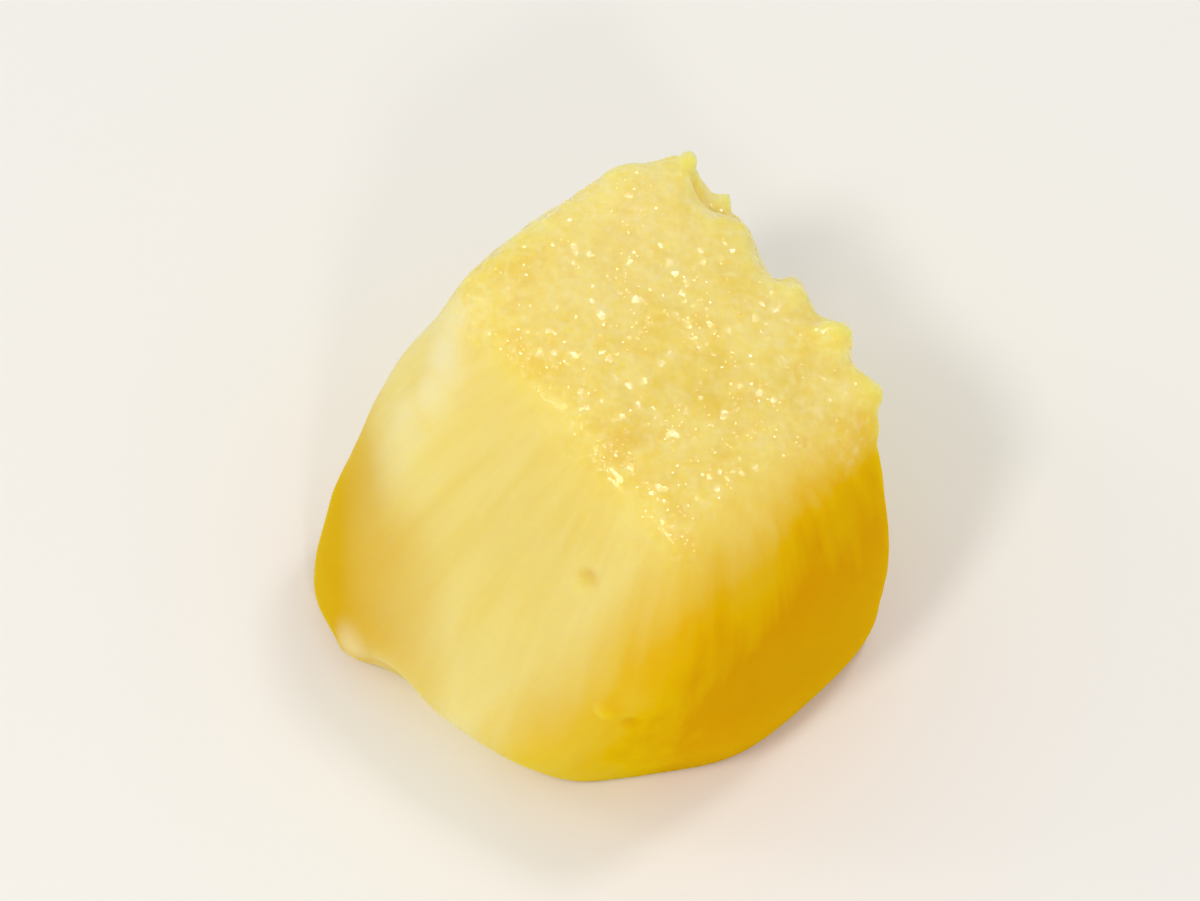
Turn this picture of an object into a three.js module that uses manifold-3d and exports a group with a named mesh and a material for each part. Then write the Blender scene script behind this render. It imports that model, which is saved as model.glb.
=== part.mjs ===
// One chunk of fresh pineapple flesh, as a knife leaves it: a rough block with ten cuts, none of them quite square
// or quite flat. Its edges are softened by the wet flesh, and torn where it parted instead of being cut.
// Millimetres, +Z up. The chunk rests on its flat underside, and the origin is under the middle of its box.
import * as THREE from "three";
import { mergeVertices } from "three/addons/utils/BufferGeometryUtils.js";
import Module from "manifold-3d";

// Driving dimensions. All cuts are measured from one point inside the flesh, restHeight above the board.
const restHeight = 9.7;
const edgeKeenness = 28; // power of the blend between two cuts: higher leaves a sharper edge
const meshDetail = 21; // subdivisions of each side of the icosahedron that the surface is wrapped on
const weldDistance = 1e-5;
const boardSize = 100; // the block under the board, which is larger than any chunk

// The knife's cuts. facing is the compass direction of the cut's outward side in degrees, anticlockwise from +X,
// and rise is how far that side tips up. bulge is the radius of the swell that keeps the face from being flat.
const cuts = [
  { name: "core side", facing: -13, rise: 76, distance: 12.5, bulge: 60 },
  { name: "core bevel", facing: -42, rise: 39, distance: 14.5, bulge: 40 },
  { name: "left ring face", facing: -131, rise: 28, distance: 11.2, bulge: 60 },
  { name: "under the left face", facing: -128, rise: -30, distance: 15.5, bulge: 60 },
  { name: "left shoulder", facing: -168, rise: 22, distance: 12.6, bulge: 60 },
  { name: "right ring face", facing: -43, rise: 8, distance: 13.8, bulge: 32 },
  { name: "front corner", facing: -80, rise: -7, distance: 14.6, bulge: 60 },
  { name: "far right face", facing: 33, rise: -2, distance: 11.2, bulge: 60 },
  { name: "far left face", facing: 131, rise: 7, distance: 10.9, bulge: 60 },
  { name: "rind side", facing: 0, rise: -90, distance: 12, bulge: 80 },
];

// Lips that stand out and tears that go in, where height is below zero. Each is round, and width is its radius in
// degrees as seen from the measuring point.
const tears = [
  { name: "lip on the far corner", facing: 88, rise: 49, width: 7, height: 0.5 },
  { name: "spike beside the lip", facing: 72, rise: 43, width: 3, height: 0.7 },
  { name: "gap after the spike", facing: 63, rise: 43, width: 4, height: -1.3 },
  { name: "gap before the first step", facing: 39, rise: 40, width: 6, height: -1.5 },
  { name: "first torn step", facing: 27, rise: 44, width: 4, height: 0.7 },
  { name: "second torn step", facing: 12, rise: 39, width: 4.5, height: 1.6 },
  { name: "third torn step", facing: 1, rise: 31, width: 4.5, height: 1.6 },
  { name: "worn left edge", facing: 160, rise: 45, width: 10, height: -0.5 },
  { name: "tip of the flap", facing: -156, rise: -29, width: 4, height: 0.6 },
  { name: "low left flap", facing: -170, rise: -24, width: 10, height: 1.0 },
  { name: "notch beside the flap", facing: -143, rise: -29, width: 5, height: -1.6 },
];

// The flesh swells and dips a little over each face, as three trains of waves that cross.
const waveHeight = 0.22;
const waveLength = 8.5;
const waves = [
  { along: new THREE.Vector3(1, 0, 0.4), phase: 0 },
  { along: new THREE.Vector3(-0.3, 1, 0), phase: 2 },
  { along: new THREE.Vector3(0, 0.5, 1), phase: 4 },
];

const radians = THREE.MathUtils.degToRad;

function compass({ facing, rise }) {
  const level = Math.cos(radians(rise));
  return new THREE.Vector3(
    level * Math.cos(radians(facing)),
    level * Math.sin(radians(facing)),
    Math.sin(radians(rise)),
  );
}

for (const feature of [...cuts, ...tears]) feature.normal = compass(feature);

// How far a ray runs before it meets a cut, which is the near side of a sphere of radius bulge.
function reach(ray, cut) {
  const centre = cut.distance - cut.bulge;
  const along = ray.dot(cut.normal) * centre;
  return along + Math.sqrt(along ** 2 + cut.bulge ** 2 - centre ** 2);
}

function cutDistance(ray) {
  let sum = 0;
  for (const cut of cuts) sum += reach(ray, cut) ** -edgeKeenness;
  return sum ** (-1 / edgeKeenness);
}

function tearHeight(ray) {
  let height = 0;
  for (const tear of tears) {
    const away = ray.angleTo(tear.normal) / radians(tear.width);
    height += tear.height * Math.exp(-(away ** 2));
  }
  return height;
}

function swell(place) {
  let height = 0;
  for (const { along, phase } of waves) {
    height += Math.sin((2 * Math.PI * place.dot(along)) / waveLength + phase);
  }
  return (waveHeight * height) / waves.length;
}

function wrappedSurface() {
  const sphere = withMergedVertices(new THREE.IcosahedronGeometry(1, meshDetail));
  const places = sphere.getAttribute("position");
  const ray = new THREE.Vector3();
  for (let i = 0; i < places.count; i++) {
    ray.fromBufferAttribute(places, i).normalize();
    const distance = cutDistance(ray);
    const place = ray.clone().multiplyScalar(distance);
    place.setLength(distance + swell(place) + tearHeight(ray));
    places.setXYZ(i, place.x, place.y, place.z + restHeight);
  }
  return sphere;
}

function withMergedVertices(geometry) {
  geometry.deleteAttribute("normal");
  geometry.deleteAttribute("uv");
  return mergeVertices(geometry, weldDistance);
}

const wasm = await Module();
wasm.setup();

function toSolid(geometry) {
  const vertProperties = geometry.getAttribute("position").array;
  const triVerts = new Uint32Array(geometry.index.array);
  return new wasm.Manifold(new wasm.Mesh({ numProp: 3, vertProperties, triVerts }));
}

function toGeometry(solid) {
  const mesh = solid.getMesh();
  const geometry = new THREE.BufferGeometry();
  geometry.setAttribute("position", new THREE.BufferAttribute(mesh.vertProperties, 3));
  geometry.setIndex(new THREE.BufferAttribute(mesh.triVerts, 1));
  return geometry;
}

// All that would sink into the board is taken off, which leaves the flat underside.
function fleshAboveBoard() {
  const board = new THREE.BoxGeometry(boardSize, boardSize, boardSize).translate(0, 0, -boardSize / 2);
  const flesh = toSolid(wrappedSurface()).subtract(toSolid(withMergedVertices(board)));
  const geometry = toGeometry(flesh);
  geometry.computeBoundingBox();
  const middle = geometry.boundingBox.getCenter(new THREE.Vector3());
  return geometry.translate(-middle.x, -middle.y, 0);
}

const chunk = new THREE.Mesh(
  fleshAboveBoard(),
  new THREE.MeshStandardMaterial({ color: 0xefd676, roughness: 0.35, metalness: 0 }),
);
chunk.name = "pineapple_flesh";

const part = new THREE.Group();
part.add(chunk);
export default part;
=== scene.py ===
import math

import bmesh
import bpy
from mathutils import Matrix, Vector


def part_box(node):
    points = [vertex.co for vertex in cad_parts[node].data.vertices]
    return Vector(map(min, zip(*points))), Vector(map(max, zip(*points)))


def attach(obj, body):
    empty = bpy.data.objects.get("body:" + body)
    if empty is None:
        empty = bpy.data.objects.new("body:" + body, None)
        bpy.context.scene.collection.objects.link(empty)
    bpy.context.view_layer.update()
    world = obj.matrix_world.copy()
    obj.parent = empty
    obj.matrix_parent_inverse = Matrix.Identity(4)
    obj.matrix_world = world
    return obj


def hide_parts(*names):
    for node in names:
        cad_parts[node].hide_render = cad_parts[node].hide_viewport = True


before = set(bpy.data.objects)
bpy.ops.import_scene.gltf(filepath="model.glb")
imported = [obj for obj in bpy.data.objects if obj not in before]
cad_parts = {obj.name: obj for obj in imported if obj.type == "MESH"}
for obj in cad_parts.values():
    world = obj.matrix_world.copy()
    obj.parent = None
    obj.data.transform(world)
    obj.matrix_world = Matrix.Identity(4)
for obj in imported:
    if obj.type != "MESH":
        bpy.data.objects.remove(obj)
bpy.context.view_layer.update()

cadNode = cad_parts["pineapple_flesh"]
lowCorner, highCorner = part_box("pineapple_flesh")
middle = (lowCorner + highCorner) / 2
mm = 0.001
print("frame loaded:", cadNode.name, [round(side / mm, 1) for side in highCorner - lowCorner], "mm")


def linear(hexColour):
    # sRGB hex to the linear values that a shader wants
    channels = [int(hexColour[i:i + 2], 16) / 255 for i in (1, 3, 5)]
    return [c / 12.92 if c <= 0.04045 else ((c + 0.055) / 1.055) ** 2.4 for c in channels] + [1.0]


def addNode(tree, kind, links=None, **settings):
    # links maps an input, by its name or by its place among those in use,
    # to a node, a socket or a plain value
    node = tree.nodes.new(kind)
    for name, value in settings.items():
        setattr(node, name, value)
    inUse = [socket for socket in node.inputs if socket.enabled]
    for key, source in (links or {}).items():
        if isinstance(key, int):
            target = inUse[key]
        else:
            target = next(socket for socket in inUse if socket.name == key)
        if isinstance(source, bpy.types.Node):
            source = next(socket for socket in source.outputs if socket.enabled)
        if isinstance(source, bpy.types.NodeSocket):
            tree.links.new(source, target)
        else:
            target.default_value = source
    return node


def compass(facing, rise):
    # facing in degrees round from +X, rise in degrees above level
    level = math.cos(math.radians(rise))
    return Vector((
        level * math.cos(math.radians(facing)),
        level * math.sin(math.radians(facing)),
        math.sin(math.radians(rise)),
    ))


studio = {
    "elevation": 60,
    "lens": 300,  # seen from about half a metre away
    "fill": 0.74,  # share of the frame's height that the chunk takes
    "frameShape": 901 / 1200,
    "heightShare": 0.75,  # the chunk narrows upwards, so this much of its height counts
    "floorSize": 1.8,
    "floorColour": "#f4f3f0",
    "floorRoughness": 0.8,
    "skyColour": "#fdfcfa",
    "skyStrength": 0.62,
    # each light: where it stands, how far and how wide in metres, its watts and its colour
    "lights": {
        "window": (compass(-134, 59), 0.45, 0.08, 0.43, "#fffaf2"),
        "side": (compass(167, 36), 0.45, 0.12, 0.12, "#fffaf2"),
        "overhead": (compass(40, 63), 0.5, 0.08, 0.33, "#ffffff"),
        "front": (compass(-80, 43), 0.5, 0.06, 0.22, "#fffaf2"),
    },
}


def makeCamera():
    data = bpy.data.cameras.new("camera")
    data.lens = studio["lens"]
    camera = bpy.data.objects.new("camera", data)
    bpy.context.scene.collection.objects.link(camera)
    rise = math.radians(studio["elevation"])
    back = compass(-90, studio["elevation"])
    side = highCorner - lowCorner
    seenHeight = side.y * math.sin(rise) + side.z * math.cos(rise) * studio["heightShare"]
    frameWidth = seenHeight / studio["fill"] / studio["frameShape"]
    distance = frameWidth * data.lens / data.sensor_width
    camera.location = middle + back * distance
    camera.rotation_mode = "QUATERNION"
    camera.rotation_quaternion = (-back).to_track_quat("-Z", "Y")
    data.clip_start = distance * 0.05
    data.clip_end = distance * 50
    bpy.context.scene.camera = camera


def makeLights():
    for name, (direction, distance, size, power, colour) in studio["lights"].items():
        data = bpy.data.lights.new(name, "AREA")
        data.shape = "DISK"
        data.size = size
        data.energy = power
        data.color = linear(colour)[:3]
        light = bpy.data.objects.new(name, data)
        light.location = middle + direction * distance
        light.rotation_mode = "QUATERNION"
        light.rotation_quaternion = (-direction).to_track_quat("-Z", "Y")
        bpy.context.scene.collection.objects.link(light)


def makeFloor():
    # matt card, which gives a pale even ground
    half = studio["floorSize"] / 2
    corners = [(-half, -half, 0), (half, -half, 0), (half, half, 0), (-half, half, 0)]
    mesh = bpy.data.meshes.new("floor")
    mesh.from_pydata(corners, [], [(0, 1, 2, 3)])
    floor = bpy.data.objects.new("floor", mesh)
    bpy.context.scene.collection.objects.link(floor)
    material = bpy.data.materials.new("matt card")
    material.use_nodes = True
    shader = material.node_tree.nodes["Principled BSDF"]
    shader.inputs["Base Color"].default_value = linear(studio["floorColour"])
    shader.inputs["Roughness"].default_value = studio["floorRoughness"]
    mesh.materials.append(material)


def makeSky():
    world = bpy.data.worlds.new("studio")
    world.use_nodes = True
    background = world.node_tree.nodes["Background"]
    background.inputs["Color"].default_value = linear(studio["skyColour"])
    background.inputs["Strength"].default_value = studio["skyStrength"]
    bpy.context.scene.world = world


makeCamera()
makeLights()
makeFloor()
makeSky()
bpy.context.scene.view_settings.view_transform = "Standard"
print("camera, light and floor made")


flesh = {
    "voxel": 0.2 * mm,
    "smoothing": 8,  # takes the facets of the plain model away
    "seed": 4.0,
    "corePoint": middle + compass(-13, 76) * 30 * mm,  # by the core: the fibres fan out from here
    "fanRadius": 30 * mm,  # as far as corePoint is from the middle
    # the grain of the cut end lies between three levels: a direction, where it starts
    # and where it is full, measured from the origin
    "grainLimits": {
        "top": (compass(-4, 76), 19.4 * mm, 20.3 * mm),
        "left ring face": (compass(-131, 28), 14.7 * mm, 13.9 * mm),
        "bevel": (compass(-42, 39), 20.8 * mm, 20.0 * mm),
    },
    # where the flesh turns golden, riper towards the rind and with painted shade on its shaded side: a
    # direction, where it starts and over what length it goes on
    "ripeningAndShade": {
        "riper": (compass(-44, -22), 1.1 * mm, 12.6 * mm),
        # the amber is mostly painted shade on the shaded side
        "deeper": (compass(-38, -14), 4.0 * mm, 9.0 * mm),  # and on to amber
        # the flap's gold is painted shade
        "flap": (compass(180, 0), 7.5 * mm, 6 * mm),  # the low flap is golden too
    },
    "flapTop": 16 * mm,
    "flapFade": 5 * mm,

    # relief: the size of its features and its full height
    "relief": {
        "Wave": (5.0 * mm, 0.16 * mm),
        "Ridge": (0.9 * mm, 0.03 * mm),  # along the fibres
        "Grit": (0.45 * mm, 0.035 * mm),
        "Ragged": (0.9 * mm, 0.22 * mm),
        "Crumb": (0.7 * mm, 0.2 * mm),
        "Granule": (1.0 * mm, 0.07 * mm),
    },
    "granuleSoftness": 0.5,
    "tearMiddle": compass(34, 33),  # the torn edge, where the surface is ragged
    "tearReach": 11 * mm,
    "tearStrength": 1.6,
    "edgeBlur": 24,  # steps, which make the film's level and find the sharp edges
    "edgeLimits": (0.99, 0.93),  # length of the blurred normal, on the flat and on an edge
    "crumbSide": compass(-131, 28),  # the left edge of the cut end crumbles
    "crumbPlace": 14.45 * mm,  # from the origin along crumbSide
    "crumbWidth": 0.9 * mm,
    "crumbMiddle": compass(-86, 56),
    "crumbReach": 10 * mm,
    "crumbStrength": 1.4,
    "restBand": 0.5 * mm,  # no relief this close to the board
    # small marks by facing and rise from the middle, with width and height in millimetres
    "marks": {
        "pit": (-93, 27, 0.8, -0.22),
        "pit rim": (-96, 22, 0.8, 0.14),
        "nick": (-89, -6, 0.8, 0.3),
        "under nick": (-84, -9, 0.9, -0.25),
        "flap tip": (-153, -31, 1.4, 0.1),
        "beside the flap": (-142, -38, 2.2, 0.35),
        "lip": (83, 44, 1.6, 0.2),
        "spike": (69, 37, 0.7, 0.6),
        "notch": (64, 37, 0.9, -0.5),
        "first tooth": (59, 32, 0.8, 0.8),
        "first hollow": (39, 33, 1.2, -0.3),
        "second tooth": (28, 35, 0.8, 0.4),
        "second hollow": (17, 36, 1.0, -0.3),
        "third tooth": (12, 34, 0.8, 0.2),
        "fourth tooth": (2, 28, 0.8, 0.2),
        "fifth tooth": (-7, 20, 1.2, 0.3),
    },

    # places by facing and rise, with width in millimetres and strength
    "spots": {
        # where juice has pooled on the cut end
        "pool": {
            "high on the left edge": (-135, 71, 1.3, 0.35),
            "on the left edge": (-98, 67, 1.3, 0.5),
            "low on the left edge": (-82, 57, 2.0, 1.0),
            "by the corner": (-72, 49, 1.1, 0.8),
            "on the corner": (-66, 42, 2.1, 1.0),
            "above the corner": (-49, 59, 1.5, 0.7),
            "by the bevel": (-21, 36, 1.8, 0.8),
            "in the middle": (-13, 51, 1.8, 0.8),
            "towards the torn edge": (15, 62, 1.6, 0.8),
            "on the first step": (25, 35, 1.4, 0.8),
            "far left": (-178, 70, 1.2, 0.8),
            "far side": (76, 70, 2.0, 0.5),
            "upper left": (-171, 73, 1.5, 0.6),
            "inside the left edge": (-145, 79, 1.6, 0.7),
            "across the top": (27, 79, 1.6, 0.5),
            "beside the spike": (53, 37, 1.1, 0.8),
            "on the last step": (30, 29, 1.1, 0.8),
        },
        # paler places: painted highlights on the shoulder and the flap's tip, painted light in the hollow
        # beside the flap, and a paler far end with painted highlight
        "pale": {
            "shoulder top": (168, 53, 2.2, 0.5),
            "shoulder": (178, 48, 2.6, 0.75),
            "shoulder middle": (-175, 41, 2.4, 0.6),
            "shoulder low": (-174, 29, 2.6, 0.3),
            "far end": (79, 53, 5.0, 0.22),
            "far top": (91, 68, 4.5, 0.16),
            "flap tip": (-153, -31, 1.8, 0.45),
            "beside the flap": (-143, -33, 2.6, 0.25),
        },
        # warmer places on the cut end, and painted shade in the pit's hollow
        "warm": {
            "middle": (-25, 59, 1.6, 0.5),
            "middle left": (-32, 70, 1.2, 0.3),
            "by the left edge": (-73, 63, 1.3, 0.4),
            "towards the steps": (-3, 58, 1.3, 0.35),
            # painted shade in the pit's hollow
            "pit": (-93, 27, 0.9, 0.4),
        },
    },

    # the pale flesh runs through three colours, at these places of a noise
    "goldColour": "#eed672",
    "bodyColour": "#f1dc7e",
    "paleColour": "#f4e28e",
    "palePlaces": (0.3, 0.46, 0.7),
    "patchSize": 3.2 * mm,
    "fibreColour": "#f8e9a4",
    "fibreWidth": 0.9 * mm,
    "fibreStretch": 9,
    "fibreLimits": (0.52, 0.72),  # where a fibre starts and where it is full
    "fibreShare": 0.13,  # how far it then goes to its colour
    # the golden flesh runs through three more, as it gets deeper: riper flesh with painted shade, the amber
    # mostly painted shade
    "ripeAndShadedColour": "#eac434",
    "riperAndShadedColour": "#e8b804",
    "ripestAndShadedColour": "#dd9c03",
    "ripeAndShadePlaces": (0.15, 0.48, 0.71),
    "ripeAndShadeFade": 0.33,  # the pale flesh is gone at this share of the way
    "ripePatchSize": 7 * mm,
    "ripeWander": (0.07, 0.08, 0.06),  # by small patches, by broad ones and by fibres
    "wanderLimits": (0.3, 0.7),  # nearly all of a noise lies between these
    "ripeUnevenness": 0.35,  # 1 wanders as much as the amber does
    "fleckSize": 0.55 * mm,
    # flecks on the cut end: the noise where they start and where they are full, most and colour
    "flecks": (
        (0.5, 0.72, 0.45, "fibreColour"),
        (0.46, 0.28, 0.18, "darkFleckColour"),
    ),
    "darkFleckColour": "#e6c63c",
    # painted highlight colour for the pale places
    "paleAndHighlightColour": "#fbf0bd",
    # painted shade on the flap
    "flapShadeColour": "#dba90e",

    "facetSize": 0.34 * mm,
    "facetWander": 0.5,  # of a facet's size, by which its outline strays
    "facetTilt": 0.5,  # 1 turns the film up to about 27 degrees either way
    "poolTilt": 0.55,  # share of it left in a pool
    "filmLevel": 0.55,  # how far the film evens out what it lies on
    "filmPatchSize": 1.1 * mm,
    "filmBreaks": (0.44, 0.52),  # from broken to whole
    # what is left of the film, where 1 is a whole one
    "sideFilm": 0.25,
    "grainFilm": 0.8,
    "brokenFilm": 0.08,
    "crumbFilm": 0.06,
    "flapFilm": 0.1,
    "ripeFilm": 0.03,
    "poolHold": 1.8,  # how firmly a pool keeps it on the crumbling edge
    "filmRoughness": 0.17,
    "filmIor": 1.5,

    "grainSize": 0.25 * mm,
    "grainHeight": 0.02 * mm,
    "roughness": 0.4,
    "ior": 1.37,
    "scatterRadius": (1.0, 0.88, 0.22),
    "scatterScale": 3.5 * mm,
    "scatterForward": 0.3,  # 0 scatters evenly, 1 straight on
}


def fannedCoordinates(tree, position):
    # the fibres' own coordinates: across them in metres, and squeezed along them
    apart = addNode(tree, "ShaderNodeVectorMath", {0: position, 1: flesh["corePoint"]}, operation="SUBTRACT")
    depth = addNode(tree, "ShaderNodeVectorMath", {0: apart}, operation="LENGTH")
    heading = addNode(tree, "ShaderNodeVectorMath", {0: apart}, operation="NORMALIZE")
    across = addNode(
        tree, "ShaderNodeVectorMath", {0: heading, "Scale": flesh["fanRadius"]}, operation="SCALE"
    )
    parts = addNode(tree, "ShaderNodeSeparateXYZ", {0: across})
    along = addNode(
        tree, "ShaderNodeMath", {0: depth.outputs["Value"], 1: flesh["fibreStretch"]}, operation="DIVIDE"
    )
    return addNode(
        tree, "ShaderNodeCombineXYZ", {"X": parts.outputs["X"], "Y": parts.outputs["Y"], "Z": along}
    )


def paintFlesh(tree, place, cutEnd):
    # gives the flesh's colour, and how far the pale flesh has given way to the golden, which is riper flesh
    # and painted shade
    fanned = fannedCoordinates(tree, place)
    patches = addNode(
        tree,
        "ShaderNodeTexNoise",
        {"Vector": fanned, "Scale": 1 / flesh["patchSize"], "Detail": 3, "Roughness": 0.6},
    )
    tone = addNode(tree, "ShaderNodeValToRGB", {"Fac": patches})
    first, second, last = flesh["palePlaces"]
    tone.color_ramp.elements[0].position = first
    tone.color_ramp.elements[0].color = linear(flesh["goldColour"])
    tone.color_ramp.elements[1].position = last
    tone.color_ramp.elements[1].color = linear(flesh["paleColour"])
    tone.color_ramp.elements.new(second).color = linear(flesh["bodyColour"])

    fibres = addNode(
        tree, "ShaderNodeTexNoise", {"Vector": fanned, "Scale": 1 / flesh["fibreWidth"], "Detail": 2}
    )
    start, full = flesh["fibreLimits"]
    thread = addNode(
        tree,
        "ShaderNodeMapRange",
        {"Value": fibres, "From Min": start, "From Max": full, "To Max": flesh["fibreShare"]},
    )
    threaded = addNode(
        tree,
        "ShaderNodeMix",
        {"Factor": thread, "A": tone, "B": linear(flesh["fibreColour"])},
        data_type="RGBA",
    )

    # the riper flesh, with painted shade on the shaded side, deepens from yellow to gold, sooner in some
    # patches and fibres than in others
    broadPatches = addNode(
        tree, "ShaderNodeTexNoise", {"Vector": place, "Scale": 1 / flesh["ripePatchSize"]}
    )
    least, greatest = flesh["wanderLimits"]
    uneven = 0.0
    for noise, most in zip((patches, broadPatches, fibres), flesh["ripeWander"]):
        sooner = addNode(
            tree,
            "ShaderNodeMapRange",
            {"Value": noise, "From Min": least, "From Max": greatest, "To Min": most, "To Max": -most},
        )
        uneven = addNode(tree, "ShaderNodeMath", {0: uneven, 1: sooner}, operation="ADD")
    riper = addNode(tree, "ShaderNodeAttribute", attribute_name="riper").outputs["Fac"]
    ripenessAndShade = addNode(
        tree,
        "ShaderNodeMath",
        {0: uneven, 1: flesh["ripeUnevenness"], 2: riper},
        operation="MULTIPLY_ADD",
        use_clamp=True,
    )
    deeper = addNode(tree, "ShaderNodeAttribute", attribute_name="deeper").outputs["Fac"]
    depth = addNode(tree, "ShaderNodeMath", {0: deeper, 1: uneven}, operation="ADD", use_clamp=True)
    ripeAndShadeTone = addNode(tree, "ShaderNodeValToRGB", {"Fac": depth})
    first, second, last = flesh["ripeAndShadePlaces"]
    ripeAndShadeTone.color_ramp.elements[0].position = first
    ripeAndShadeTone.color_ramp.elements[0].color = linear(flesh["ripeAndShadedColour"])
    ripeAndShadeTone.color_ramp.elements[1].position = last
    ripeAndShadeTone.color_ramp.elements[1].color = linear(flesh["ripestAndShadedColour"])
    ripeAndShadeTone.color_ramp.elements.new(second).color = linear(flesh["riperAndShadedColour"])
    ripeAndShadeShare = addNode(
        tree, "ShaderNodeMapRange", {"Value": ripenessAndShade, "From Min": 0.0, "From Max": flesh["ripeAndShadeFade"]}
    )
    colour = addNode(
        tree, "ShaderNodeMix", {"Factor": ripeAndShadeShare, "A": threaded, "B": ripeAndShadeTone}, data_type="RGBA"
    )

    # cut sacs show as small pale flecks on the cut end, with darker ones between them
    sacs = addNode(
        tree, "ShaderNodeTexNoise", {"Vector": place, "Scale": 1 / flesh["fleckSize"], "Detail": 1}
    )
    for start, full, most, fleckColour in flesh["flecks"]:
        fleck = addNode(
            tree,
            "ShaderNodeMapRange",
            {"Value": sacs, "From Min": start, "From Max": full, "To Max": most},
        )
        share = addNode(tree, "ShaderNodeMath", {0: fleck, 1: cutEnd}, operation="MULTIPLY")
        colour = addNode(
            tree,
            "ShaderNodeMix",
            {"Factor": share, "A": colour, "B": linear(flesh[fleckColour])},
            data_type="RGBA",
        )

    # painted shade makes the flap golden, painted highlights make the shoulder above it pale, and there are
    # warmer places, with painted shade in the pit
    for attribute, placeColour in (
        ("flap", "flapShadeColour"),
        ("pale", "paleAndHighlightColour"),
        ("warm", "darkFleckColour"),
    ):
        share = addNode(tree, "ShaderNodeAttribute", attribute_name=attribute).outputs["Fac"]
        colour = addNode(
            tree,
            "ShaderNodeMix",
            {"Factor": share, "A": colour, "B": linear(flesh[placeColour])},
            data_type="RGBA",
        )
    return colour, ripeAndShadeShare


def tiltFilm(tree, place, pool, wetPlace):
    # the film of juice lies smoother than the flesh, and breaks into little facets on the cut end
    wobble = addNode(
        tree, "ShaderNodeTexNoise", {"Vector": place, "Scale": 2 / flesh["facetSize"], "Detail": 1}
    )
    bent = addNode(
        tree,
        "ShaderNodeVectorMath",
        {0: wobble.outputs["Color"], 1: (flesh["facetWander"] * flesh["facetSize"],) * 3, 2: place},
        operation="MULTIPLY_ADD",
    )
    facets = addNode(tree, "ShaderNodeTexVoronoi", {"Vector": bent, "Scale": 1 / flesh["facetSize"]})
    # a facet's own colour, less the middle grey, is the way that it leans
    lean = addNode(
        tree,
        "ShaderNodeVectorMath",
        {0: facets.outputs["Color"], 1: (0.5, 0.5, 0.5)},
        operation="SUBTRACT",
    )
    # where juice has pooled they lie flatter, so the glints run together
    spread = addNode(
        tree,
        "ShaderNodeMapRange",
        {"Value": pool, "To Min": flesh["facetTilt"], "To Max": flesh["facetTilt"] * flesh["poolTilt"]},
    )
    tilt = addNode(tree, "ShaderNodeMath", {0: wetPlace, 1: spread}, operation="MULTIPLY")
    leaning = addNode(tree, "ShaderNodeVectorMath", {0: lean, "Scale": tilt}, operation="SCALE")
    film = addNode(tree, "ShaderNodeAttribute", attribute_name="film").outputs["Vector"]
    normal = addNode(tree, "ShaderNodeNewGeometry").outputs["Normal"]
    level = addNode(
        tree, "ShaderNodeMix", {"Factor": flesh["filmLevel"], "A": normal, "B": film}, data_type="VECTOR"
    )
    tilted = addNode(tree, "ShaderNodeVectorMath", {0: level.outputs[1], 1: leaning}, operation="ADD")
    return addNode(tree, "ShaderNodeVectorMath", {0: tilted}, operation="NORMALIZE")


def spreadFilm(tree, place, pool, wetPlace, ripeAndShadeShare):
    # how much film there is: on the cut end it is broken into small patches, but for the pools
    grainFilm = addNode(tree, "ShaderNodeMapRange", {"Value": pool, "To Min": flesh["grainFilm"]})
    breaks = addNode(
        tree, "ShaderNodeTexNoise", {"Vector": place, "Scale": 1 / flesh["filmPatchSize"], "Detail": 1}
    )
    broken, full = flesh["filmBreaks"]
    unbroken = addNode(
        tree,
        "ShaderNodeMapRange",
        {"Value": breaks, "From Min": broken, "From Max": full, "To Min": flesh["brokenFilm"]},
    )
    whole = addNode(tree, "ShaderNodeMath", {0: unbroken, 1: pool}, operation="MAXIMUM")
    cutEndFilm = addNode(tree, "ShaderNodeMath", {0: grainFilm, 1: whole}, operation="MULTIPLY")
    film = addNode(tree, "ShaderNodeMix", {"Factor": wetPlace, "A": flesh["sideFilm"], "B": cutEndFilm})

    # it has drawn off the crumbling edge, again but for the pools
    crumbling = addNode(tree, "ShaderNodeAttribute", attribute_name="crumbling").outputs["Fac"]
    offEdge = addNode(
        tree, "ShaderNodeMapRange", {"Value": crumbling, "To Min": 1.0, "To Max": flesh["crumbFilm"]}
    )
    held = addNode(
        tree, "ShaderNodeMath", {0: pool, 1: flesh["poolHold"]}, operation="MULTIPLY", use_clamp=True
    )
    kept = addNode(tree, "ShaderNodeMath", {0: offEdge, 1: held}, operation="MAXIMUM")
    film = addNode(tree, "ShaderNodeMath", {0: film, 1: kept}, operation="MULTIPLY")

    # and the flap and the golden flesh are nearly dry
    flap = addNode(tree, "ShaderNodeAttribute", attribute_name="flap").outputs["Fac"]
    for dry, left in ((flap, flesh["flapFilm"]), (ripeAndShadeShare, flesh["ripeFilm"])):
        share = addNode(tree, "ShaderNodeMapRange", {"Value": dry, "To Min": 1.0, "To Max": left})
        film = addNode(tree, "ShaderNodeMath", {0: film, 1: share}, operation="MULTIPLY")
    return film


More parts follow.
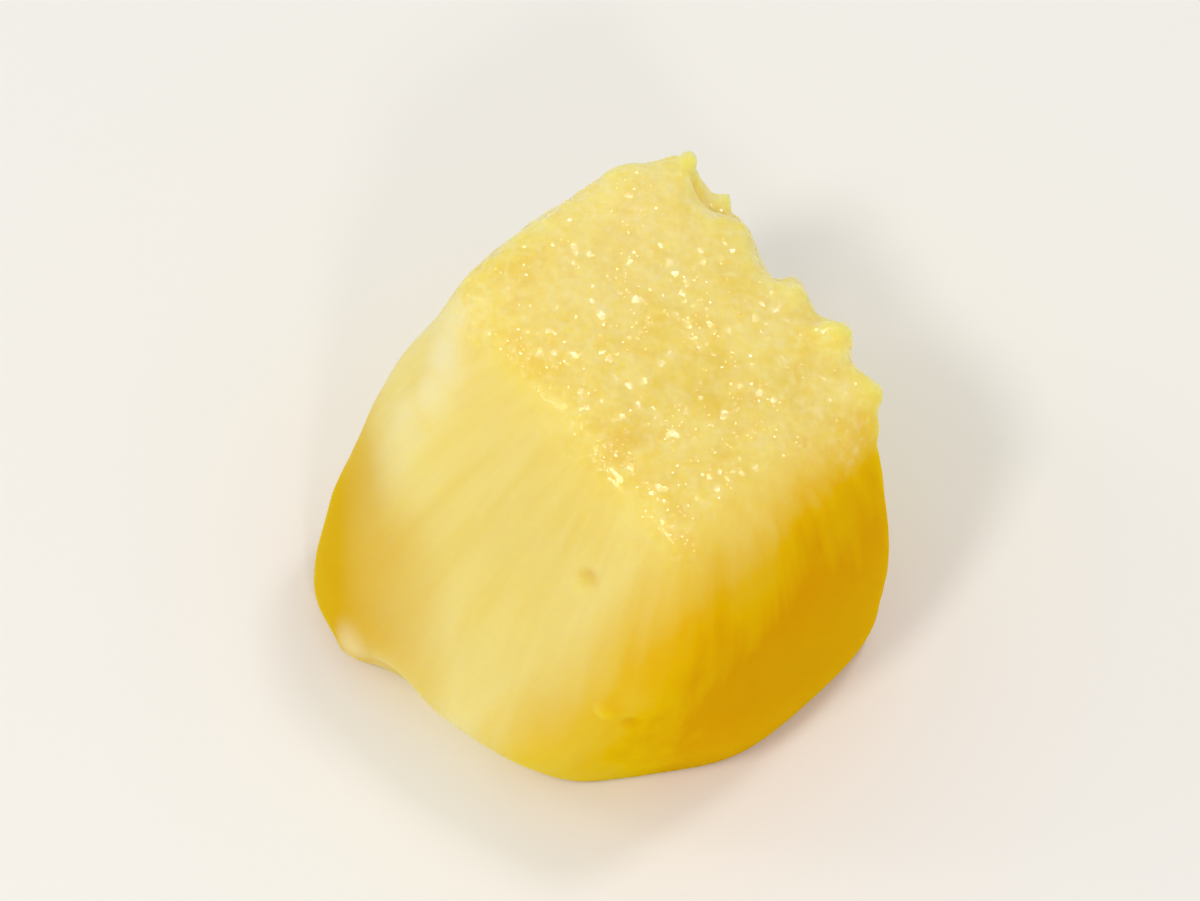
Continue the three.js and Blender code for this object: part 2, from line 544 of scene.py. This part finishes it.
def makeFleshMaterial():
    # ripe pineapple flesh, cut with a knife: translucent and wet, pale by the core, golden by the rind and by
    # painted shade on its shaded side and flap, with faint pale fibres, painted highlights on the shoulder,
    # and a film of juice that glints where the cut end is grainy
    material = bpy.data.materials.new("pineapple flesh")
    material.use_nodes = True
    tree = material.node_tree
    shader = tree.nodes["Principled BSDF"]
    place = addNode(tree, "ShaderNodeTexCoord").outputs["Object"]
    cutEnd = addNode(tree, "ShaderNodeAttribute", attribute_name="cutEnd").outputs["Fac"]
    pool = addNode(tree, "ShaderNodeAttribute", attribute_name="pool").outputs["Fac"]
    wetPlace = addNode(tree, "ShaderNodeMath", {0: cutEnd, 1: pool}, operation="MAXIMUM")

    colour, ripeAndShadeShare = paintFlesh(tree, place, cutEnd)
    tree.links.new(colour.outputs[2], shader.inputs["Base Color"])
    grain = addNode(
        tree, "ShaderNodeTexNoise", {"Vector": place, "Scale": 1 / flesh["grainSize"], "Detail": 2}
    )
    fineBump = addNode(
        tree, "ShaderNodeBump", {"Height": grain, "Strength": 1.0, "Distance": flesh["grainHeight"]}
    )
    tree.links.new(fineBump.outputs["Normal"], shader.inputs["Normal"])
    filmNormal = tiltFilm(tree, place, pool, wetPlace)
    tree.links.new(filmNormal.outputs["Vector"], shader.inputs["Coat Normal"])
    film = spreadFilm(tree, place, pool, wetPlace, ripeAndShadeShare)
    tree.links.new(film.outputs[0], shader.inputs["Coat Weight"])

    shader.inputs["Roughness"].default_value = flesh["roughness"]
    shader.inputs["IOR"].default_value = flesh["ior"]
    shader.inputs["Specular IOR Level"].default_value = 0.0  # the film of juice has all the gloss
    shader.inputs["Subsurface Weight"].default_value = 1.0
    shader.inputs["Subsurface Radius"].default_value = flesh["scatterRadius"]
    shader.inputs["Subsurface Scale"].default_value = flesh["scatterScale"]
    shader.inputs["Subsurface Anisotropy"].default_value = flesh["scatterForward"]
    shader.inputs["Coat Roughness"].default_value = flesh["filmRoughness"]
    shader.inputs["Coat IOR"].default_value = flesh["filmIor"]
    return material


def bakeModifiers(piece):
    graph = bpy.context.evaluated_depsgraph_get()
    result = bpy.data.meshes.new_from_object(piece.evaluated_get(graph))
    piece.modifiers.clear()
    piece.data = result
    piece.data.name = piece.name


def smoothCopyOfNode():
    mesh = cadNode.data.copy()
    mesh.materials.clear()
    work = bmesh.new()
    work.from_mesh(mesh)
    bmesh.ops.remove_doubles(work, verts=work.verts, dist=0.001 * mm)
    work.to_mesh(mesh)
    work.free()
    piece = bpy.data.objects.new("pineapple_chunk", mesh)
    bpy.context.scene.collection.objects.link(piece)
    evened = piece.modifiers.new("evened", "REMESH")
    evened.mode = "VOXEL"
    evened.voxel_size = flesh["voxel"]
    smoothed = piece.modifiers.new("smoothed", "SMOOTH")
    smoothed.factor = 0.5
    smoothed.iterations = flesh["smoothing"]
    bakeModifiers(piece)
    return piece


def risingAlong(tree, position, direction, start, full, fade="LINEAR"):
    # 0 up to start along the direction, and 1 from full on
    way = addNode(tree, "ShaderNodeVectorMath", {0: position, 1: direction}, operation="DOT_PRODUCT")
    return addNode(
        tree,
        "ShaderNodeMapRange",
        {"Value": way.outputs["Value"], "From Min": start, "From Max": full},
        interpolation_type=fade,
    )


def roundSpot(tree, position, direction, width, most):
    # most where the direction from the chunk's middle comes out of the flesh, and 0 from width away
    fromMiddle = addNode(tree, "ShaderNodeVectorMath", {0: position, 1: middle}, operation="SUBTRACT")
    reach = addNode(tree, "ShaderNodeVectorMath", {0: fromMiddle}, operation="LENGTH").outputs["Value"]
    centre = addNode(tree, "ShaderNodeVectorMath", {0: direction, "Scale": reach}, operation="SCALE")
    gap = addNode(tree, "ShaderNodeVectorMath", {0: fromMiddle, 1: centre}, operation="DISTANCE")
    return addNode(
        tree,
        "ShaderNodeMapRange",
        {"Value": gap.outputs["Value"], "From Min": width, "From Max": 0.0, "To Min": 0.0, "To Max": most},
        interpolation_type="SMOOTHSTEP",
    )


def crumblingEdge(tree, position):
    # the left edge of the cut end crumbles, in a band that fades at both ends
    way = addNode(
        tree, "ShaderNodeVectorMath", {0: position, 1: flesh["crumbSide"]}, operation="DOT_PRODUCT"
    )
    past = addNode(
        tree, "ShaderNodeMath", {0: way.outputs["Value"], 1: flesh["crumbPlace"]}, operation="SUBTRACT"
    )
    apart = addNode(tree, "ShaderNodeMath", {0: past}, operation="ABSOLUTE")
    byEdge = addNode(
        tree,
        "ShaderNodeMapRange",
        {"Value": apart, "From Min": flesh["crumbWidth"], "From Max": 0.0},
        interpolation_type="SMOOTHSTEP",
    )
    near = roundSpot(tree, position, flesh["crumbMiddle"], flesh["crumbReach"], flesh["crumbStrength"])
    return addNode(tree, "ShaderNodeMath", {0: byEdge, 1: near}, operation="MULTIPLY", use_clamp=True)


def makeReliefTree(material):
    tree = bpy.data.node_groups.new("flesh relief", "GeometryNodeTree")
    tree.interface.new_socket("Geometry", in_out="INPUT", socket_type="NodeSocketGeometry")
    tree.interface.new_socket("Seed", in_out="INPUT", socket_type="NodeSocketFloat")
    for name in flesh["relief"]:
        tree.interface.new_socket(name + " Size", in_out="INPUT", socket_type="NodeSocketFloat")
        tree.interface.new_socket(name + " Height", in_out="INPUT", socket_type="NodeSocketFloat")
    tree.interface.new_socket("Geometry", in_out="OUTPUT", socket_type="NodeSocketGeometry")
    given = addNode(tree, "NodeGroupInput").outputs
    position = addNode(tree, "GeometryNodeInputPosition")
    normal = addNode(tree, "GeometryNodeInputNormal")
    up = Vector((0, 0, 1))

    # the cut end is grainy up to its edges
    cutEnd = 1.0
    for direction, start, full in flesh["grainLimits"].values():
        within = risingAlong(tree, position, direction, start, full, "SMOOTHSTEP")
        cutEnd = addNode(tree, "ShaderNodeMath", {0: cutEnd, 1: within}, operation="MULTIPLY")
    smoothSide = addNode(tree, "ShaderNodeMath", {0: 1.0, 1: cutEnd}, operation="SUBTRACT")
    crumbling = crumblingEdge(tree, position)

    # the torn edge is ragged where it is sharp
    broad = addNode(
        tree,
        "GeometryNodeBlurAttribute",
        {"Value": normal, "Iterations": flesh["edgeBlur"]},
        data_type="FLOAT_VECTOR",
    )
    length = addNode(tree, "ShaderNodeVectorMath", {0: broad}, operation="LENGTH").outputs["Value"]
    flat, sharp = flesh["edgeLimits"]
    edge = addNode(
        tree,
        "ShaderNodeMapRange",
        {"Value": length, "From Min": flat, "From Max": sharp},
        interpolation_type="SMOOTHSTEP",
    )
    nearTear = roundSpot(tree, position, flesh["tearMiddle"], flesh["tearReach"], flesh["tearStrength"])
    torn = addNode(tree, "ShaderNodeMath", {0: edge, 1: nearTear}, operation="MULTIPLY", use_clamp=True)

    # each layer of relief: its name, its coordinates and where it shows
    everywhere = 1.0
    layers = (
        ("Wave", position, everywhere),
        ("Ridge", fannedCoordinates(tree, position), smoothSide),
        ("Grit", position, cutEnd),
        ("Ragged", position, torn),
        ("Crumb", position, crumbling),
    )
    total = 0.0
    for name, coordinates, share in layers:
        scale = addNode(tree, "ShaderNodeMath", {0: 1.0, 1: given[name + " Size"]}, operation="DIVIDE")
        texture = addNode(
            tree,
            "ShaderNodeTexNoise",
            {"Vector": coordinates, "W": given["Seed"], "Scale": scale, "Detail": 2},
            noise_dimensions="4D",
        )
        level = addNode(tree, "ShaderNodeMapRange", {"Value": texture, "To Min": -1.0, "To Max": 1.0})
        raised = addNode(tree, "ShaderNodeMath", {0: level, 1: given[name + " Height"]}, operation="MULTIPLY")
        total = addNode(tree, "ShaderNodeMath", {0: raised, 1: share, 2: total}, operation="MULTIPLY_ADD")

    # the cut sacs stand up as rounded granules
    scale = addNode(tree, "ShaderNodeMath", {0: 1.0, 1: given["Granule Size"]}, operation="DIVIDE")
    sacs = addNode(
        tree,
        "ShaderNodeTexVoronoi",
        {"Vector": position, "Scale": scale, "Smoothness": flesh["granuleSoftness"]},
        feature="SMOOTH_F1",
    )
    level = addNode(tree, "ShaderNodeMapRange", {"Value": sacs, "To Min": 1.0, "To Max": -1.0})
    raised = addNode(tree, "ShaderNodeMath", {0: level, 1: given["Granule Height"]}, operation="MULTIPLY")
    total = addNode(tree, "ShaderNodeMath", {0: raised, 1: cutEnd, 2: total}, operation="MULTIPLY_ADD")

    for facing, rise, width, markHeight in flesh["marks"].values():
        mark = roundSpot(tree, position, compass(facing, rise), width * mm, markHeight * mm)
        total = addNode(tree, "ShaderNodeMath", {0: total, 1: mark}, operation="ADD")
    clear = risingAlong(tree, position, up, 0.0, flesh["restBand"], "SMOOTHSTEP")
    height = addNode(tree, "ShaderNodeMath", {0: total, 1: clear}, operation="MULTIPLY")
    offset = addNode(tree, "ShaderNodeVectorMath", {0: normal, "Scale": height}, operation="SCALE")

    # what the materials and the juice need to know about each place
    stored = {"cutEnd": cutEnd, "crumbling": crumbling}
    for name, (direction, start, way) in flesh["ripeningAndShade"].items():
        stored[name] = risingAlong(tree, position, direction, start, start + way)
    low = risingAlong(
        tree, position, up, flesh["flapTop"], flesh["flapTop"] - flesh["flapFade"], "SMOOTHSTEP"
    )
    stored["flap"] = addNode(tree, "ShaderNodeMath", {0: stored["flap"], 1: low}, operation="MULTIPLY")
    for name, spots in flesh["spots"].items():
        stored[name] = 0.0
        for facing, rise, width, most in spots.values():
            spot = roundSpot(tree, position, compass(facing, rise), width * mm, most)
            stored[name] = addNode(tree, "ShaderNodeMath", {0: stored[name], 1: spot}, operation="MAXIMUM")

    shape = given["Geometry"]
    for name, value in stored.items():
        shape = addNode(
            tree,
            "GeometryNodeStoreNamedAttribute",
            {"Geometry": shape, "Name": name, "Value": value},
            domain="POINT",
            data_type="FLOAT",
        )
    shape = addNode(
        tree,
        "GeometryNodeStoreNamedAttribute",
        {"Geometry": shape, "Name": "film", "Value": broad},
        domain="POINT",
        data_type="FLOAT_VECTOR",
    )
    moved = addNode(tree, "GeometryNodeSetPosition", {"Geometry": shape, "Offset": offset})
    smooth = addNode(tree, "GeometryNodeSetShadeSmooth", {"Geometry": moved})
    real = addNode(tree, "GeometryNodeRealizeInstances", {"Geometry": smooth})
    painted = addNode(tree, "GeometryNodeSetMaterial", {"Geometry": real, "Material": material})
    addNode(tree, "NodeGroupOutput", {"Geometry": painted})
    return tree


def addTree(piece, tree, values):
    modifier = piece.modifiers.new(tree.name, "NODES")
    modifier.node_group = tree
    for item in tree.interface.items_tree:
        if item.in_out == "INPUT" and item.name in values:
            modifier[item.identifier] = values[item.name]


fleshMaterial = makeFleshMaterial()
print("flesh material made")
chunk = smoothCopyOfNode()
print("chunk evened out:", len(chunk.data.polygons), "faces")
reliefValues = {"Seed": flesh["seed"]}
for layer, (featureSize, fullHeight) in flesh["relief"].items():
    reliefValues[layer + " Size"] = featureSize
    reliefValues[layer + " Height"] = fullHeight
addTree(chunk, makeReliefTree(fleshMaterial), reliefValues)
bakeModifiers(chunk)
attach(chunk, "root")
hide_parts("pineapple_flesh")
print("relief added:", len(chunk.data.polygons), "faces")


juice = {
    "seed": 7,
    "density": 10e6,  # beads for each square metre of the wettest flesh
    "apart": 0.2 * mm,
    "smallest": 0.14 * mm,
    "largest": 0.42 * mm,
    "flatness": 0.17,
    "lean": 0.3,
    "segments": 8,
    "rings": 6,
    "patchSize": 2.6 * mm,
    "patchLimits": (0.43, 0.7),
    "patchShare": 0.55,  # how thick they lie outside the pools
    "grainReach": 2.0,  # 2 lets them lie as thick from half way up the grain's soft edge
    "clearColour": "#fcfaf2",
    "glintColour": "#393939",  # a faint mirror
    "glintRoughness": 0.13,
}


def makeJuiceMaterial():
    # pineapple juice, clear and thin: too thin to bend what lies below, it shows as soft glints
    material = bpy.data.materials.new("pineapple juice")
    material.use_nodes = True
    tree = material.node_tree
    tree.nodes.remove(tree.nodes["Principled BSDF"])
    clear = addNode(tree, "ShaderNodeBsdfTransparent", {"Color": linear(juice["clearColour"])})
    glint = addNode(
        tree,
        "ShaderNodeBsdfAnisotropic",
        {"Color": linear(juice["glintColour"]), "Roughness": juice["glintRoughness"]},
    )
    both = addNode(tree, "ShaderNodeAddShader", {0: clear, 1: glint})
    tree.links.new(both.outputs[0], tree.nodes["Material Output"].inputs["Surface"])
    return material


def makeBeadTree(material):
    tree = bpy.data.node_groups.new("juice beads", "GeometryNodeTree")
    tree.interface.new_socket("Geometry", in_out="INPUT", socket_type="NodeSocketGeometry")
    for name, kind in (
        ("Flesh", "NodeSocketObject"),
        ("Seed", "NodeSocketInt"),
        ("Density", "NodeSocketFloat"),
        ("Apart", "NodeSocketFloat"),
        ("Smallest", "NodeSocketFloat"),
        ("Largest", "NodeSocketFloat"),
        ("Lean", "NodeSocketFloat"),
    ):
        tree.interface.new_socket(name, in_out="INPUT", socket_type=kind)
    tree.interface.new_socket("Geometry", in_out="OUTPUT", socket_type="NodeSocketGeometry")
    given = addNode(tree, "NodeGroupInput").outputs
    wetFlesh = addNode(tree, "GeometryNodeObjectInfo", {"Object": given["Flesh"]}).outputs["Geometry"]

    # the beads lie on the cut end, thickest in the pools and in patches between them
    cutEnd = addNode(tree, "GeometryNodeInputNamedAttribute", {"Name": "cutEnd"}, data_type="FLOAT")
    pool = addNode(tree, "GeometryNodeInputNamedAttribute", {"Name": "pool"}, data_type="FLOAT")
    position = addNode(tree, "GeometryNodeInputPosition")
    patches = addNode(
        tree, "ShaderNodeTexNoise", {"Vector": position, "Scale": 1 / juice["patchSize"], "Detail": 1}
    )
    start, full = juice["patchLimits"]
    patchy = addNode(
        tree,
        "ShaderNodeMapRange",
        {"Value": patches, "From Min": start, "From Max": full, "To Max": juice["patchShare"]},
    )
    pooled = addNode(tree, "ShaderNodeMath", {0: pool, 1: patchy}, operation="ADD")
    nearGrain = addNode(
        tree, "ShaderNodeMath", {0: cutEnd, 1: juice["grainReach"]}, operation="MULTIPLY", use_clamp=True
    )
    wet = addNode(
        tree, "ShaderNodeMath", {0: pooled, 1: nearGrain}, operation="MULTIPLY", use_clamp=True
    )
    points = addNode(
        tree,
        "GeometryNodeDistributePointsOnFaces",
        {
            "Mesh": wetFlesh,
            "Distance Min": given["Apart"],
            "Density Max": given["Density"],
            "Density Factor": wet,
            "Seed": given["Seed"],
        },
        distribute_method="POISSON",
    )

    # each is a flat round bead that leans a little its own way
    bead = addNode(
        tree, "GeometryNodeMeshUVSphere", {"Segments": juice["segments"], "Rings": juice["rings"]}
    )
    size = addNode(
        tree,
        "FunctionNodeRandomValue",
        {"Min": given["Smallest"], "Max": given["Largest"], "Seed": given["Seed"]},
        data_type="FLOAT",
    )
    thickness = addNode(tree, "ShaderNodeMath", {0: size, 1: juice["flatness"]}, operation="MULTIPLY")
    shape = addNode(tree, "ShaderNodeCombineXYZ", {"X": size, "Y": size, "Z": thickness})
    lean = addNode(
        tree,
        "FunctionNodeRandomValue",
        {"Min": (-1.0, -1.0, -1.0), "Max": (1.0, 1.0, 1.0), "Seed": given["Seed"]},
        data_type="FLOAT_VECTOR",
    )
    leaning = addNode(tree, "ShaderNodeVectorMath", {0: lean, "Scale": given["Lean"]}, operation="SCALE")
    up = addNode(
        tree, "ShaderNodeVectorMath", {0: points.outputs["Normal"], 1: leaning}, operation="ADD"
    )
    turned = addNode(tree, "FunctionNodeAlignRotationToVector", {"Vector": up}, axis="Z")
    beads = addNode(
        tree,
        "GeometryNodeInstanceOnPoints",
        {"Points": points, "Instance": bead, "Rotation": turned, "Scale": shape},
    )
    real = addNode(tree, "GeometryNodeRealizeInstances", {"Geometry": beads})
    smooth = addNode(tree, "GeometryNodeSetShadeSmooth", {"Geometry": real})
    painted = addNode(tree, "GeometryNodeSetMaterial", {"Geometry": smooth, "Material": material})
    addNode(tree, "NodeGroupOutput", {"Geometry": painted})
    return tree


juiceMaterial = makeJuiceMaterial()
print("juice material made")
beads = bpy.data.objects.new("juice_beads", bpy.data.meshes.new("juice_beads"))
bpy.context.scene.collection.objects.link(beads)
addTree(beads, makeBeadTree(juiceMaterial), {
    "Flesh": chunk,
    "Seed": juice["seed"],
    "Density": juice["density"],
    "Apart": juice["apart"],
    "Smallest": juice["smallest"],
    "Largest": juice["largest"],
    "Lean": juice["lean"],
})
bakeModifiers(beads)
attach(beads, "root")
print("juice beads added:", len(beads.data.polygons), "faces")
